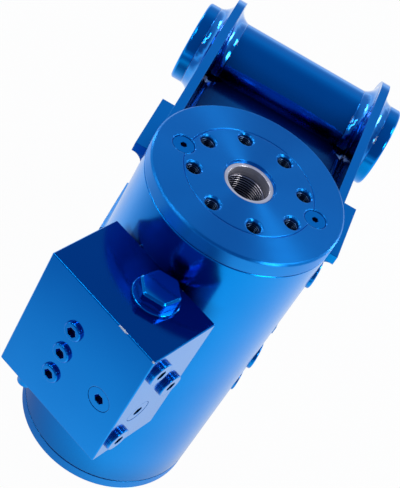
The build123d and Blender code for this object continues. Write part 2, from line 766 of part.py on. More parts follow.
# Ears of the bracket, from the housing to round ends about the tube
for side, name in ((-1, "ear_left"), (1, "ear_right")):
    with BuildPart() as ear:
        with BuildSketch(Plane.YZ.offset(side * ear_inner_x)):
            with Locations(((ear_foot_y + tube_y) / 2, tube_z)):
                Rectangle(tube_y - ear_foot_y, 2 * ear_end_r)
            with Locations((tube_y, tube_z)):
                Circle(ear_end_r)
                Circle(tube_r, mode=Mode.SUBTRACT)
        extrude(amount=side * ear_thickness)
        with BuildSketch(Plane.XY):
            Circle(body_r)
        extrude(amount=overall_length, mode=Mode.SUBTRACT)
    ear.part.label = name
    export_step(ear.part, f"parts/{name}.step")

# Saddle plates beside the ears, on the housing
front_wing_top = tube_z + ear_end_r
rear_wing_top = tube_z - ear_end_r + wing_thickness
wings = [
    ("wing_front_left", -1, front_wing_x, front_wing_top),
    ("wing_front_right", 1, front_wing_x, front_wing_top),
    ("wing_rear_left", -1, rear_wing_x, rear_wing_top),
    ("wing_rear_right", 1, rear_wing_x, rear_wing_top),
]
for name, side, outer_x, top in wings:
    with BuildPart() as wing:
        with BuildSketch(Plane.XY.offset(top)):
            with Locations((side * (ear_inner_x + outer_x) / 2, (wing_foot_y + wing_top_y) / 2)):
                Rectangle(outer_x - ear_inner_x, wing_top_y - wing_foot_y)
            with Locations((side * (ear_inner_x + ear_outer_x) / 2, (ear_foot_y + wing_top_y) / 2)):
                Rectangle(ear_thickness, wing_top_y - ear_foot_y, mode=Mode.SUBTRACT)
            Circle(body_r, mode=Mode.SUBTRACT)
        extrude(amount=-wing_thickness)
    wing.part.label = name
    export_step(wing.part, f"parts/{name}.step")

# Web between the ears, from the housing to the tube
with BuildPart() as web_plate:
    with BuildSketch(Plane.XY.offset(tube_z - web_thickness / 2)):
        web_low = sqrt(body_r**2 - ear_inner_x**2)
        with Locations((0, (web_low + tube_y) / 2)):
            Rectangle(2 * ear_inner_x, tube_y - web_low)
        for side in (-1, 1):
            for corner_y in (web_low, tube_y - tube_r):
                with Locations((side * ear_inner_x, corner_y)):
                    RegularPolygon(web_snipe, side_count=4, mode=Mode.SUBTRACT)
        with Locations((0, tube_y)):
            Rectangle(2 * ear_inner_x, 2 * tube_r - web_thickness, mode=Mode.SUBTRACT)
        Circle(body_r, mode=Mode.SUBTRACT)
    extrude(amount=web_thickness)
    with BuildSketch(Plane.YZ.offset(-ear_inner_x)):
        with Locations((tube_y, tube_z)):
            Circle(tube_r)
    extrude(amount=2 * ear_inner_x, mode=Mode.SUBTRACT)
web_plate.part.label = "web_plate"
export_step(web_plate.part, "parts/web_plate.step")


def bead_face(corner, leg_x, leg_y):
    """Concave weld section with its square corner at the given point of the sketch."""
    with BuildLine() as edge:
        start = (corner[0] + leg_x, corner[1])
        end = (corner[0], corner[1] + leg_y)
        dip = (corner[0] + bead_dip * leg_x, corner[1] + bead_dip * leg_y)
        Line(corner, start)
        ThreePointArc(start, dip, end)
        Line(end, corner)
    make_face(edge.edges())


# Beads round the tube, on both sides of each ear
tube_axis = Axis((0, tube_y, tube_z), (1, 0, 0))
with BuildPart() as tube_welds:
    for side in (-1, 1):
        for foot_x, way in ((ear_outer_x, 1), (ear_inner_x, -1)):
            with BuildSketch(Plane.XZ.offset(-tube_y)):
                corner = (side * foot_x, tube_z + tube_r)
                bead_face(corner, side * way * tube_weld_leg, tube_weld_leg)
            revolve(axis=tube_axis)
tube_welds.part.label = "tube_welds"
export_step(tube_welds.part, "parts/tube_welds.step")

# Beads behind the saddle plates, along ear and housing
with BuildPart() as wing_welds:
    for side in (-1, 1):
        for foot_z, way, overhang in (
            (front_wing_top - wing_thickness, -1, front_wing_overhang),
            (rear_wing_top, 1, rear_wing_overhang),
        ):
            leg = min(wing_weld_leg, overhang)
            with BuildSketch(Plane.XZ.offset(-wing_foot_y)):
                bead_face((side * ear_outer_x, foot_z), side * leg, way * wing_weld_leg)
            extrude(amount=wing_foot_y - wing_top_y)
wing_welds.part.label = "wing_welds"
export_step(wing_welds.part, "parts/wing_welds.step")

# Beads that fill the narrow corners between the ears' inner faces and the housing
corner_y = sqrt(body_r**2 - ear_inner_x**2)
bead_y = corner_y + ear_weld_leg
bead_x = sqrt(body_r**2 - bead_y**2)
with BuildPart() as ear_welds:
    for side in (-1, 1):
        with BuildSketch(Plane.XY.offset(tube_z - ear_end_r)):
            with BuildLine():
                Polyline(
                    (side * bead_x, bead_y),
                    (side * bead_x, corner_y - bead_sag),
                    (side * ear_inner_x, corner_y - bead_sag),
                    (side * ear_inner_x, bead_y),
                )
                dip = (side * (bead_x + ear_inner_x) / 2, bead_y - bead_sag)
                ThreePointArc((side * ear_inner_x, bead_y), dip, (side * bead_x, bead_y))
            make_face()
            Circle(body_r, mode=Mode.SUBTRACT)
        extrude(amount=2 * ear_end_r)
ear_welds.part.label = "ear_welds"
export_step(ear_welds.part, "parts/ear_welds.step")

# Beads on both faces of the web, along the ears
web_bead_low = web_low + web_snipe + seat_gap
web_bead_top = tube_y - tube_r - web_snipe - seat_gap
with BuildPart() as web_welds:
    for side in (-1, 1):
        for way in (-1, 1):
            with BuildSketch(Plane.XZ.offset(-web_bead_low)):
                corner = (side * ear_inner_x, tube_z + way * web_thickness / 2)
                bead_face(corner, -side * web_weld_leg, way * web_weld_leg)
            extrude(amount=web_bead_low - web_bead_top)
web_welds.part.label = "web_welds"
export_step(web_welds.part, "parts/web_welds.step")
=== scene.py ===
# %% [markdown]
# # Platform rotator
# A rotator turns the basket of a work platform. Oil inside its housing drives a sleeve with
# helical teeth, and the ring on its front face turns with the shaft. This lesson dresses the
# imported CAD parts: it sets the camera, makes the candy blue paint and the bare metals, winds the
# screw threads as real ridges, and lights the whole as a small studio would.

# %% Load the frame
import bpy
import bmesh
import json
from math import cos, radians, sin, tau
from mathutils import Matrix, Vector


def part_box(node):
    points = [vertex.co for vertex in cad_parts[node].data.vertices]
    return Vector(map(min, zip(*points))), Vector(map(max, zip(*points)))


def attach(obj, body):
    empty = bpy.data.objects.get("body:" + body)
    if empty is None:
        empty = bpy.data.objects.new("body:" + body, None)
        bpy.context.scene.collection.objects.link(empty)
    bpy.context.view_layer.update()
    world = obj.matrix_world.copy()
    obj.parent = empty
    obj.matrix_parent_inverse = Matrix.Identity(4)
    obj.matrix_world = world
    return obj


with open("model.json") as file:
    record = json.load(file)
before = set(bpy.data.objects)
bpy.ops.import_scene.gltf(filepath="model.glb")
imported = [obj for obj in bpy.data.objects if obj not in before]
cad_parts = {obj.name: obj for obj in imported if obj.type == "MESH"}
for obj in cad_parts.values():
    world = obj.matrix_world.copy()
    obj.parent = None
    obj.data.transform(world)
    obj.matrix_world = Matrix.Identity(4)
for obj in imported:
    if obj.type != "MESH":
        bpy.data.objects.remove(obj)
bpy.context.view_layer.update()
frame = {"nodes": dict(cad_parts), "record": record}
nodes = frame["nodes"]

# %% [markdown]
# ## Places on the part
# The part stands on its rear flange, so its front face is the highest thing on the turning axis.
# Its height and the block's top are read from the frame's boxes, because then a thread or a
# flake still sits right when the CAD changes. The valve block stands askew to the frame's own
# axes, so places on it are told by two directions: out from the axis, and across the block.

# %% Places on the part
MM = 0.001
FACE_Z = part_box("end_cap")[1][2]
BLOCK_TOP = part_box("valve_block")[1][2]
BLOCK_ANGLE = radians(-113.7)
OUT = Vector((cos(BLOCK_ANGLE), sin(BLOCK_ANGLE), 0))
ACROSS = Vector((-sin(BLOCK_ANGLE), cos(BLOCK_ANGLE), 0))
print("front face at", round(FACE_Z, 4), "block top at", round(BLOCK_TOP, 4))

# %% [markdown]
# ## The camera
# The photograph looks down on the front face from the valve block's side. A camera's place can
# be tried by hand, but a fit to many picked edges is far closer, so the place and the two
# directions below come from such a fit. The lens follows from the focal length in pixels.

# %% Camera
PICTURE_HEIGHT = 488
FOCAL_PIXELS = 1356.5
SENSOR_MM = 36.0
FAR_CLIP = 20.0
EYE = Vector((-49.7, -786.1, 978.4)) * MM
RIGHT = Vector((0.868, 0.314, 0.383))
AHEAD = Vector((0.0393, 0.7291, -0.6838))


def look(eye, ahead, right):
    """Matrix of a camera that looks along one direction with its right side along another."""
    ahead = ahead.normalized()
    right = (right - ahead * right.dot(ahead)).normalized()
    up = right.cross(ahead)
    turn = Matrix((right, up, -ahead)).transposed().to_4x4()
    return Matrix.Translation(eye) @ turn


camera_data = bpy.data.cameras.new("camera")
camera_data.sensor_width = SENSOR_MM
camera_data.lens = FOCAL_PIXELS / PICTURE_HEIGHT * SENSOR_MM
camera_data.clip_end = FAR_CLIP
camera = bpy.data.objects.new("camera", camera_data)
camera.matrix_world = look(EYE, AHEAD, RIGHT)
bpy.context.scene.collection.objects.link(camera)
bpy.context.scene.camera = camera
print("lens", round(camera_data.lens, 2), "mm")

# %% [markdown]
# ## A kit for node trees
# Every finish here is a node tree and not a picture, so it keeps its grain at any distance. Nodes
# written out one by one would fill pages. One helper adds a node of any kind with its settings
# and links, and the small ones below it keep the cells that follow short.

# %% Node kit


def new_material(name):
    """Material with its node tree and its shader."""
    material = bpy.data.materials.new(name)
    material.use_nodes = True
    tree = material.node_tree
    return material, tree, tree.nodes["Principled BSDF"]


def add_node(tree, kind, inputs=None, **settings):
    """Node of that kind, with its settings and its input values or links."""
    node = tree.nodes.new(kind)
    for key, value in settings.items():
        setattr(node, key, value)
    for key, value in (inputs or {}).items():
        if isinstance(value, bpy.types.NodeSocket):
            tree.links.new(value, node.inputs[key])
        else:
            node.inputs[key].default_value = value
    return node


def place_of(tree):
    """Object coordinates, which are metres in the row's frame."""
    return add_node(tree, "ShaderNodeTexCoord").outputs["Object"]


print("node kit ready")

# %% [markdown]
# ## Patterns and blends
# A worn or sprayed surface is a few even patterns mixed together: a noise, a map that stretches
# its values to the wanted range, a colour ramp, and a blend by a mask. Bump turns a pattern into
# relief without more polygons, which is right for grain far smaller than a pixel.

# %% Patterns and blends


def noise(tree, vector, scale, detail=2.0):
    """Factor of a noise texture at that scale."""
    inputs = {"Vector": vector, "Scale": scale, "Detail": detail}
    return add_node(tree, "ShaderNodeTexNoise", inputs).outputs["Fac"]


def ramp(tree, factor, stops):
    """Colour ramp with the given places and colours."""
    node = add_node(tree, "ShaderNodeValToRGB", {"Fac": factor})
    elements = node.color_ramp.elements
    while len(elements) < len(stops):
        elements.new(0.5)
    for element, (place, colour) in zip(elements, stops):
        element.position = place
        element.color = (*colour, 1.0)
    return node.outputs["Color"]


def spread(tree, factor, low, high, start=0.0, end=1.0):
    """Factor mapped from start..end to low..high, and held there beyond."""
    inputs = {"Value": factor, "From Min": start, "From Max": end, "To Min": low, "To Max": high}
    return add_node(tree, "ShaderNodeMapRange", inputs).outputs["Result"]


def calc(tree, operation, first, second):
    """One sum of two numbers or outputs."""
    node = add_node(tree, "ShaderNodeMath", {0: first, 1: second}, operation=operation)
    return node.outputs["Value"]


def mix(tree, factor, first, second):
    """Blend of two colours or colour outputs."""
    node = add_node(tree, "ShaderNodeMix", {"Factor": factor}, data_type="RGBA")
    for socket, colour in ((node.inputs[6], first), (node.inputs[7], second)):
        if isinstance(colour, bpy.types.NodeSocket):
            tree.links.new(colour, socket)
        else:
            socket.default_value = (*colour, 1.0)
    return node.outputs[2]


def bump(tree, height, strength, distance, normal=None):
    """Bump from a height, on top of an earlier normal where one is given."""
    inputs = {"Height": height, "Strength": strength, "Distance": distance}
    if normal is not None:
        inputs["Normal"] = normal
    return add_node(tree, "ShaderNodeBump", inputs).outputs["Normal"]


print("patterns ready")

# %% [markdown]
# ## How closed in a place is
# Painted shade goes where a place is closed in: in a thread, a corner or a pocket.
# Such shading could be painted by hand, but the Ambient Occlusion node measures it from the
# shapes themselves, out to a given reach, so it also stays right when a piece moves.

# %% Closed places
NEIGHBOUR_RAYS = 8


def closed_in(tree, reach, shut, open_from):
    """One in a place whose openness is below shut, falling to zero where it is open enough."""
    inputs = {"Distance": reach}
    nook = add_node(tree, "ShaderNodeAmbientOcclusion", inputs, samples=NEIGHBOUR_RAYS)
    return spread(tree, nook.outputs["AO"], 1.0, 0.0, shut, open_from)


print("rays per place:", NEIGHBOUR_RAYS)

# %% [markdown]
# ## Candy blue paint
# The rotator is painted in a clear blue over bright machined metal, so it acts like a coloured
# mirror: it is vivid where it sees the pale floor, and almost black where it sees a neighbour.
# A coloured plastic never gets that dark, but a metal shader with a blue tint does. In deep
# corners the tint darkens as painted shade. Paint also rounds every sharp edge a
# little, and a bevel in the normal lets those edges catch a thin line of light. A relief is
# written as its strength and its height in metres.

# %% Candy paint
BLUES = ((0.001, 0.265, 0.82), (0.002, 0.305, 0.90))
# Painted shade in closed-in corners: its reach, the openness where it ends, and its tint.
CORNER_SHADE = {"reach": 0.10, "open_from": 0.75, "tint": (0.0, 0.03, 0.16)}
CORNER_SHADE_SPAN = 0.55
CLOUD_SCALE = 9.0
CLOUD_STOPS = (0.3, 0.75)
FILM_SCALE = 160.0
DUST_SCALE = 420.0
DUST_RELIEF = (0.03, 0.0002)
EDGE_R = 0.8 * MM
EDGE_RAYS = 6


def candy_base(name, rough=(0.09, 0.15), corner=CORNER_SHADE, edge=EDGE_R, blues=BLUES):
    """Candy paint without its own relief: material, tree, shader, place and fine normal."""
    material, tree, shader = new_material(name)
    place = place_of(tree)
    colour = ramp(tree, noise(tree, place, CLOUD_SCALE), list(zip(CLOUD_STOPS, blues)))
    # Painted shade: the colour darkens toward the shade tint where the place is closed in.
    shut = corner["open_from"] - CORNER_SHADE_SPAN
    closed = closed_in(tree, corner["reach"], shut, corner["open_from"])
    colour = mix(tree, closed, colour, corner["tint"])
    tree.links.new(colour, shader.inputs["Base Color"])
    shader.inputs["Metallic"].default_value = 1.0
    film = noise(tree, place, FILM_SCALE, detail=3.0)
    tree.links.new(spread(tree, film, *rough), shader.inputs["Roughness"])
    soft_edge = add_node(tree, "ShaderNodeBevel", {"Radius": edge}, samples=EDGE_RAYS)
    dust = noise(tree, place, DUST_SCALE)
    normal = bump(tree, dust, *DUST_RELIEF, soft_edge.outputs["Normal"])
    return material, tree, shader, place, normal


def candy_paint(name, **settings):
    """Candy paint on a smooth machined or rolled surface."""
    material, tree, shader, place, normal = candy_base(name, **settings)
    tree.links.new(normal, shader.inputs["Normal"])
    return material


paint = candy_paint("candy_paint")
body_paint = candy_paint("body_candy_paint", rough=(0.17, 0.24))
print("paints:", paint.name, body_paint.name)

# %% [markdown]
# ## Painted shade deep in the bracket
# The bracket is a deep pocket between its two ears, and the web plate lies at the bottom of it.
# The same paint is far darker there than on the block. A separate colour could be picked, but
# then the open outer sides would be wrong, so the painted corner shade is only made deeper and
# reaches further. The housing's own paint, made above, is a little softer in its mirror instead.

# %% Bracket paint
# Painted shade for the bracket's pocket and, deeper still, for the web plate and its welds.
POCKET_SHADE_TINT = (0.0, 0.008, 0.07)
POCKET_SHADE = {"reach": 0.18, "open_from": 0.72, "tint": POCKET_SHADE_TINT}
NOOK_SHADE = {"reach": 0.30, "open_from": 1.0, "tint": POCKET_SHADE_TINT}
bracket_shaded_paint = candy_paint("bracket_shaded_candy_paint", corner=POCKET_SHADE)
nook_shaded_paint = candy_paint("nook_shaded_candy_paint", corner=NOOK_SHADE)
print("paints:", bracket_shaded_paint.name, nook_shaded_paint.name)

# %% [markdown]
# ## Lathe rings under the paint
# The end cap and the shaft's end are faced on a lathe, and the fine rings show through the
# paint. They smear a reflection across themselves, which draws the bright fans above and below
# the centre. An anisotropic shader with its tangent round the axis gives the fans, and a noise
# read along the radius alone gives the rings. Its blue holds a little more red than the other
# paint, which makes its highlights paler.

# %% Turned paint
RINGS_PER_METRE = 1300.0
RING_RELIEF = (0.04, 0.0001)
TURNED_BLUES = ((0.011, 0.272, 0.82), (0.012, 0.314, 0.90))
# Painted shade in the face's grooves and holes, with a short reach.
GROOVE_SHADE = {"reach": 0.02, "open_from": 0.5, "tint": CORNER_SHADE["tint"]}
ROUNDED_EDGE_R = 1.4 * MM


def radius_of(tree, place):
    """Distance from the turning axis."""
    flat = add_node(tree, "ShaderNodeVectorMath", {0: place, 1: (1, 1, 0)}, operation="MULTIPLY")
    length = add_node(tree, "ShaderNodeVectorMath", {0: flat.outputs[0]}, operation="LENGTH")
    return length.outputs["Value"]


def turned_candy():
    """Candy paint over lathe rings."""
    material, tree, shader, place, normal = candy_base(
        "turned_candy_paint", (0.32, 0.38), GROOVE_SHADE, ROUNDED_EDGE_R, TURNED_BLUES
    )
    inputs = {"W": radius_of(tree, place), "Scale": RINGS_PER_METRE, "Detail": 2.0}
    line = add_node(tree, "ShaderNodeTexNoise", inputs, noise_dimensions="1D").outputs["Fac"]
    tree.links.new(bump(tree, line, *RING_RELIEF, normal), shader.inputs["Normal"])
    tangent = add_node(tree, "ShaderNodeTangent", direction_type="RADIAL", axis="Z")
    tree.links.new(tangent.outputs["Tangent"], shader.inputs["Tangent"])
    shader.inputs["Anisotropic"].default_value = 0.85
    shader.inputs["Anisotropic Rotation"].default_value = 0.25
    return material


turned_paint = turned_candy()
print("paint:", turned_paint.name)

# %% [markdown]
# ## Weld beads under the paint
# A bead keeps the ripples of the melt, and the paint pools between them. They could be modelled,
# but at this size a warped wave and a coarse noise in the normal catch the light in the same
# short dashes. Where the clear top coat pools it glints white, so a thin coat lies over the blue.

# %% Weld paint
LUMP_SCALE = 80.0
LUMP_RELIEF = (0.18, 0.0010)
RIPPLE = {"Scale": 60.0, "Distortion": 3.0, "Detail": 1.0}
RIPPLE_RELIEF = (0.10, 0.0008)


def weld_candy():
    """Candy paint over rippled weld metal."""
    material, tree, shader, place, normal = candy_base("weld_candy_paint", (0.09, 0.16))
    lump = bump(tree, noise(tree, place, LUMP_SCALE, detail=1.0), *LUMP_RELIEF, normal)
    inputs = {"Vector": place, **RIPPLE}
    wave = add_node(tree, "ShaderNodeTexWave", inputs, bands_direction="DIAGONAL")
    rippled = bump(tree, wave.outputs["Fac"], *RIPPLE_RELIEF, lump)
    tree.links.new(rippled, shader.inputs["Normal"])
    shader.inputs["Coat Weight"].default_value = 0.6
    shader.inputs["Coat Roughness"].default_value = 0.10
    return material


weld_paint = weld_candy()
print("paint:", weld_paint.name)

# %% [markdown]
# ## Flakes off the valve block's edges
# The block's top edges have lost small flakes of paint, and bare metal shines there. Each could
# be a small mesh, but a flake has no thickness to speak of. Here it is a stretched blob in the
# block's own directions, told by its place out from the axis and across and by its half length,
# and a noise breaks its edge.

# %% Flakes
BLOCK_FRONT = 0.146
BLOCK_BACK = 0.078
FLAKES = [
    (BLOCK_FRONT, 0.0320, 0.0055),
    (BLOCK_FRONT, 0.0640, 0.0020),
    (BLOCK_BACK, -0.0080, 0.0016),
    (BLOCK_BACK, -0.0180, 0.0013),
    (BLOCK_BACK, 0.0300, 0.0011),
]
FLAKE_HALF_WIDTH = 0.0011
RAGGED_SCALE = 900.0
RAGGED_EDGE = (1.35, 1.55)


def flake_mask(tree, place, outward, sideways, half_length):
    """One where a flake is missing about a place on the block's top edge."""
    centre = OUT * outward + ACROSS * sideways + Vector((0, 0, BLOCK_TOP))
    inputs = {
        "Vector": place,
        "Location": centre,
        "Rotation": (0.0, 0.0, BLOCK_ANGLE),
        "Scale": (FLAKE_HALF_WIDTH, half_length, FLAKE_HALF_WIDTH),
    }
    local = add_node(tree, "ShaderNodeMapping", inputs, vector_type="TEXTURE").outputs["Vector"]
    length = add_node(tree, "ShaderNodeVectorMath", {0: local}, operation="LENGTH")
    broken = noise(tree, place, RAGGED_SCALE, detail=3.0)
    ragged = calc(tree, "ADD", length.outputs["Value"], broken)
    return spread(tree, ragged, 1.0, 0.0, *RAGGED_EDGE)


print("flakes:", len(FLAKES))

# %% [markdown]
# ## Chipped paint
# Inside a flake the shader turns to bright steel, rougher than the paint. The block's top face
# mirrors less light than its sides, so its top is darkened as painted shade. The surface's own
# direction tells where the top is, so no face has to be picked by hand.

# %% Chipped paint
BARE_STEEL = (0.92, 0.95, 0.97)
BARE_ROUGH = 0.45
# Painted shade on the block's top: its tint and the upward span where it fades in.
TOP_SHADE_TINT = (0.0, 0.09, 0.42)
TOP_SHADE_SPAN = (0.8, 0.95)


def chipped_candy():
    """Candy paint with flakes missing along the block's top edges."""
    material, tree, shader, place, normal = candy_base("chipped_candy_paint")
    masks = [flake_mask(tree, place, *flake) for flake in FLAKES]
    bare = masks[0]
    for mask in masks[1:]:
        bare = calc(tree, "MAXIMUM", bare, mask)
    colour = shader.inputs["Base Color"].links[0].from_socket
    # Painted shade: faces that look up take a darker blue.
    facing = add_node(tree, "ShaderNodeNewGeometry").outputs["True Normal"]
    upward = add_node(tree, "ShaderNodeSeparateXYZ", {"Vector": facing}).outputs["Z"]
    colour = mix(tree, spread(tree, upward, 0.0, 1.0, *TOP_SHADE_SPAN), colour, TOP_SHADE_TINT)
    tree.links.new(mix(tree, bare, colour, BARE_STEEL), shader.inputs["Base Color"])
    rough = shader.inputs["Roughness"].links[0].from_socket
    rough = calc(tree, "MAXIMUM", rough, calc(tree, "MULTIPLY", bare, BARE_ROUGH))
    tree.links.new(rough, shader.inputs["Roughness"])
    tree.links.new(normal, shader.inputs["Normal"])
    return material


chipped_paint = chipped_candy()
print("paint:", chipped_paint.name)

# %% [markdown]
# ## Bare metals
# The collar in the centre is bare turned steel with a pinkish shine, and the tapped holes have
# caught some of the paint. The collar, its thread and the holes turn black in their closed-in
# places as painted shade. Inside, the sleeve and the gears are oiled steel and the bushes bronze.
# All are the same thing on the real part, metal with fine tool lines, so one function makes them
# with a noise stretched along the lines.

# %% Bare metals
# Painted shade: black in closed-in places, out to this reach.
SHADE_BLACK = (0.004, 0.004, 0.006)
SHADE_REACH = 0.04
LINES_ROUND = (60.0, 60.0, 900.0)
LINES_ALONG = (900.0, 60.0, 60.0)
LINE_RELIEF = (0.15, 0.0001)


def metal(name, dark, light, rough, grain=LINES_ROUND, shine=1.0, shade_open_from=0.0):
    """Bare metal with fine tool lines along one direction, and black painted shade in its corners.
    """
    material, tree, shader = new_material(name)
    inputs = {"Vector": place_of(tree), "Scale": grain}
    stretched = add_node(tree, "ShaderNodeMapping", inputs).outputs["Vector"]
    lines = noise(tree, stretched, 1.0, detail=3.0)
    colour = ramp(tree, lines, [(0.3, dark), (0.7, light)])
    # Painted shade: the colour turns black where the place is closed in.
    if shade_open_from > 0:
        colour = mix(tree, closed_in(tree, SHADE_REACH, 0.0, shade_open_from), colour, SHADE_BLACK)
    tree.links.new(colour, shader.inputs["Base Color"])
    shader.inputs["Metallic"].default_value = shine
    tree.links.new(spread(tree, lines, rough - 0.07, rough + 0.09), shader.inputs["Roughness"])
    tree.links.new(bump(tree, lines, *LINE_RELIEF), shader.inputs["Normal"])
    return material


# The collar, its thread and the holes get black painted shade in their closed-in places.
steel = metal(
    "bare_steel", (0.80, 0.76, 0.80), (1.0, 0.95, 0.97), rough=0.30, shine=0.6, shade_open_from=0.45
)
thread_steel = metal(
    "thread_steel", (0.30, 0.29, 0.33), (0.60, 0.58, 0.62), rough=0.16, shade_open_from=0.5
)
hole_steel = metal(
    "painted_thread_steel", (0.03, 0.07, 0.16), (0.18, 0.34, 0.60), rough=0.14, shade_open_from=0.75
)
gear_steel = metal("gear_steel", (0.22, 0.22, 0.23), (0.46, 0.45, 0.44), rough=0.34)
bronze = metal(
    "bush_bronze", (0.45, 0.26, 0.09), (0.68, 0.43, 0.17), rough=0.32, grain=LINES_ALONG
)
print("metals:", [m.name for m in (steel, thread_steel, hole_steel, gear_steel, bronze)])

# %% [markdown]
# ## Seals and bearing rings
# The seals are black rubber and the bearing rings cream plastic. They hardly show, but a pose or
# a cut view finds them. A moulded piece has no direction in its grain, so a plain fine noise
# moves its colour, its gloss and its relief together.

# %% Rubber and plastic
MOULD_RELIEF = (0.2, 0.0001)


def moulded(name, dark, light, rough, scale):
    """Rubber or plastic with a soft moulded grain."""
    material, tree, shader = new_material(name)
    grain = noise(tree, place_of(tree), scale, detail=4.0)
    colour = ramp(tree, grain, [(0.25, dark), (0.75, light)])
    tree.links.new(colour, shader.inputs["Base Color"])
    tree.links.new(spread(tree, grain, rough - 0.08, rough + 0.08), shader.inputs["Roughness"])
    tree.links.new(bump(tree, grain, *MOULD_RELIEF), shader.inputs["Normal"])
    return material


rubber = moulded("seal_rubber", (0.010, 0.010, 0.011), (0.035, 0.035, 0.037), 0.55, 700.0)
plastic = moulded("bearing_plastic", (0.52, 0.47, 0.33), (0.70, 0.64, 0.48), 0.45, 500.0)
print("moulded finishes:", rubber.name, plastic.name)

# %% [markdown]
# ## Dressing the CAD nodes
# The CAD shapes are right as they are, so each keeps its mesh and only gets a finish. The
# record's slot names the plain case, and the turned, welded, chipped and pocketed nodes get
# their own.

# %% Dress the CAD nodes
FINISHES = {
    "blue_paint": paint,
    "bare_steel": gear_steel,
    "seal_rubber": rubber,
    "bearing_plastic": plastic,
    "bush_bronze": bronze,
}
SPECIAL = {
    "end_cap": turned_paint,
    "shaft": turned_paint,
    "housing": body_paint,
    "valve_block": chipped_paint,
    "tube_welds": weld_paint,
    "wing_welds": weld_paint,
    "ear_welds": weld_paint,
    "web_welds": nook_shaded_paint,
    "bore_collar": steel,
    "cross_tube": bracket_shaded_paint,
    "ear_left": bracket_shaded_paint,
    "ear_right": bracket_shaded_paint,
    "web_plate": nook_shaded_paint,
}
for row in frame["record"]["subparts"]:
    mesh = nodes[row["node"]].data
    mesh.materials.clear()
    mesh.materials.append(SPECIAL.get(row["node"], FINISHES[row["material_slot"]]))

# %% [markdown]
# ## How a thread is wound
# The CAD holes are plain, because that is how a thread is kept in a record. On the real part
# the ridges show as bright lines in the dark holes. A bump would look flat at the rim, so each
# thread is a real ridge: a small closed V section that winds down the wall on a right-hand
# helix. The section is given in shares, its depth from the wall to the crest and its rise in
# pitches. A thread that winds up tells its corners the other way round, so that its faces look
# outward as well.

# %% Thread ridge
RIDGE = [(0.0, 0.42), (1.0, 0.10), (1.0, -0.10), (0.0, -0.42)]


def ridge_section(centre, way, turns, wall_r, crest_r, pitch):
    """Corners of the ridge's section after that many turns, way 1 up or -1 down."""
    angle = way * tau * turns
    corners = []
    for depth, rise in RIDGE:
        radius = wall_r + (crest_r - wall_r) * depth
        height = (way * turns + rise) * pitch
        corners.append(centre + Vector((radius * cos(angle), radius * sin(angle), height)))
    return corners


def add_thread(build, centre, way, length, wall_r, crest_r, pitch, steps):
    """Winds one closed ridge from its centre point along the axis, way 1 up or -1 down."""
    rows = []
    for index in range(int(length / pitch * steps) + 1):
        section = ridge_section(centre, way, index / steps, wall_r, crest_r, pitch)
        rows.append([build.verts.new(corner) for corner in section])
    for low, high in zip(rows, rows[1:]):
        for side in range(len(RIDGE)):
            after = (side + 1) % len(RIDGE)
            corners = (low[side], low[after], high[after], high[side])
            build.faces.new(corners if way < 0 else corners[::-1])
    build.faces.new(rows[0] if way > 0 else rows[0][::-1])
    build.faces.new(rows[-1][::-1] if way > 0 else rows[-1])


def thread_piece(name, centres, way, size, material):
    """One object that holds all ridges of a kind and turns with the output."""
    build = bmesh.new()
    for centre in centres:
        add_thread(build, centre, way, **size)
    bmesh.ops.recalc_face_normals(build, faces=build.faces)
    volume = build.calc_volume()
    mesh = bpy.data.meshes.new(name)
    build.to_mesh(mesh)
    build.free()
    mesh.materials.append(material)
    mesh.shade_smooth()
    piece = bpy.data.objects.new(name, mesh)
    bpy.context.scene.collection.objects.link(piece)
    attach(piece, "output")
    print(name, "ridges:", len(centres), "volume mm3:", round(volume / MM**3, 1))


# %% [markdown]
# ## Threads in the tapped holes
# Eight M12 holes lie on a circle in the front face and eight in the rear flange. The record's
# mounts hold their circles and radii, so the ridges take them from there and can't miss the
# holes. Each ridge starts below the countersink, with its root sunk a little into the wall so
# that no gap shows.

# %% Tapped holes
ROOT_SUNK = 0.05 * MM
FIRST_HOLE_DEGREES = 22.5
FRONT_THREAD_DEPTH = 2.6 * MM
REAR_THREAD_DEPTH = 1.6 * MM
mounts = {mount["name"]: mount["dims"] for mount in frame["record"]["mounts"]}


def hole_places(dims, height):
    """Centres of the tapped holes on one face's circle."""
    radius = dims["pcd_mm"] / 2 * MM
    first = radians(FIRST_HOLE_DEGREES)
    turns = [first + tau * index / dims["count"] for index in range(dims["count"])]
    return [Vector((radius * cos(turn), radius * sin(turn), height)) for turn in turns]


M12 = {
    "length": 18 * MM,
    "wall_r": mounts["front_bolts"]["hole_r_mm"] * MM + ROOT_SUNK,
    "crest_r": 5.2 * MM,
    "pitch": 1.75 * MM,
    "steps": 24,
}
front_holes = hole_places(mounts["front_bolts"], FACE_Z - FRONT_THREAD_DEPTH)
rear_holes = hole_places(mounts["rear_bolts"], REAR_THREAD_DEPTH)
thread_piece("front_threads", front_holes, -1, M12, hole_steel)
thread_piece("rear_threads", rear_holes, 1, M12, hole_steel)

# %% [markdown]
# ## Thread in the collar
# The collar in the centre has a thread in its wide bore, which starts below a plain turned
# stretch. With the few steps of the tapped holes so wide a ridge would look like a polygon, so
# one turn gets more of them.

# %% Collar thread
COLLAR_THREAD_DEPTH = 10.5 * MM
COLLAR = {
    "length": 19 * MM,
    "wall_r": mounts["collar_thread"]["r_mm"] * MM + ROOT_SUNK,
    "crest_r": 15.8 * MM,
    "pitch": 2.309 * MM,
    "steps": 64,
}
collar_start = Vector((0, 0, FACE_Z - COLLAR_THREAD_DEPTH))
thread_piece("collar_thread", [collar_start], -1, COLLAR, thread_steel)

# %% [markdown]
# ## Floor
# The photograph shows the part on plain white. A large plane under the rear flange carries the
# shadow. It lies half a millimetre lower, because two faces in one plane would flicker.

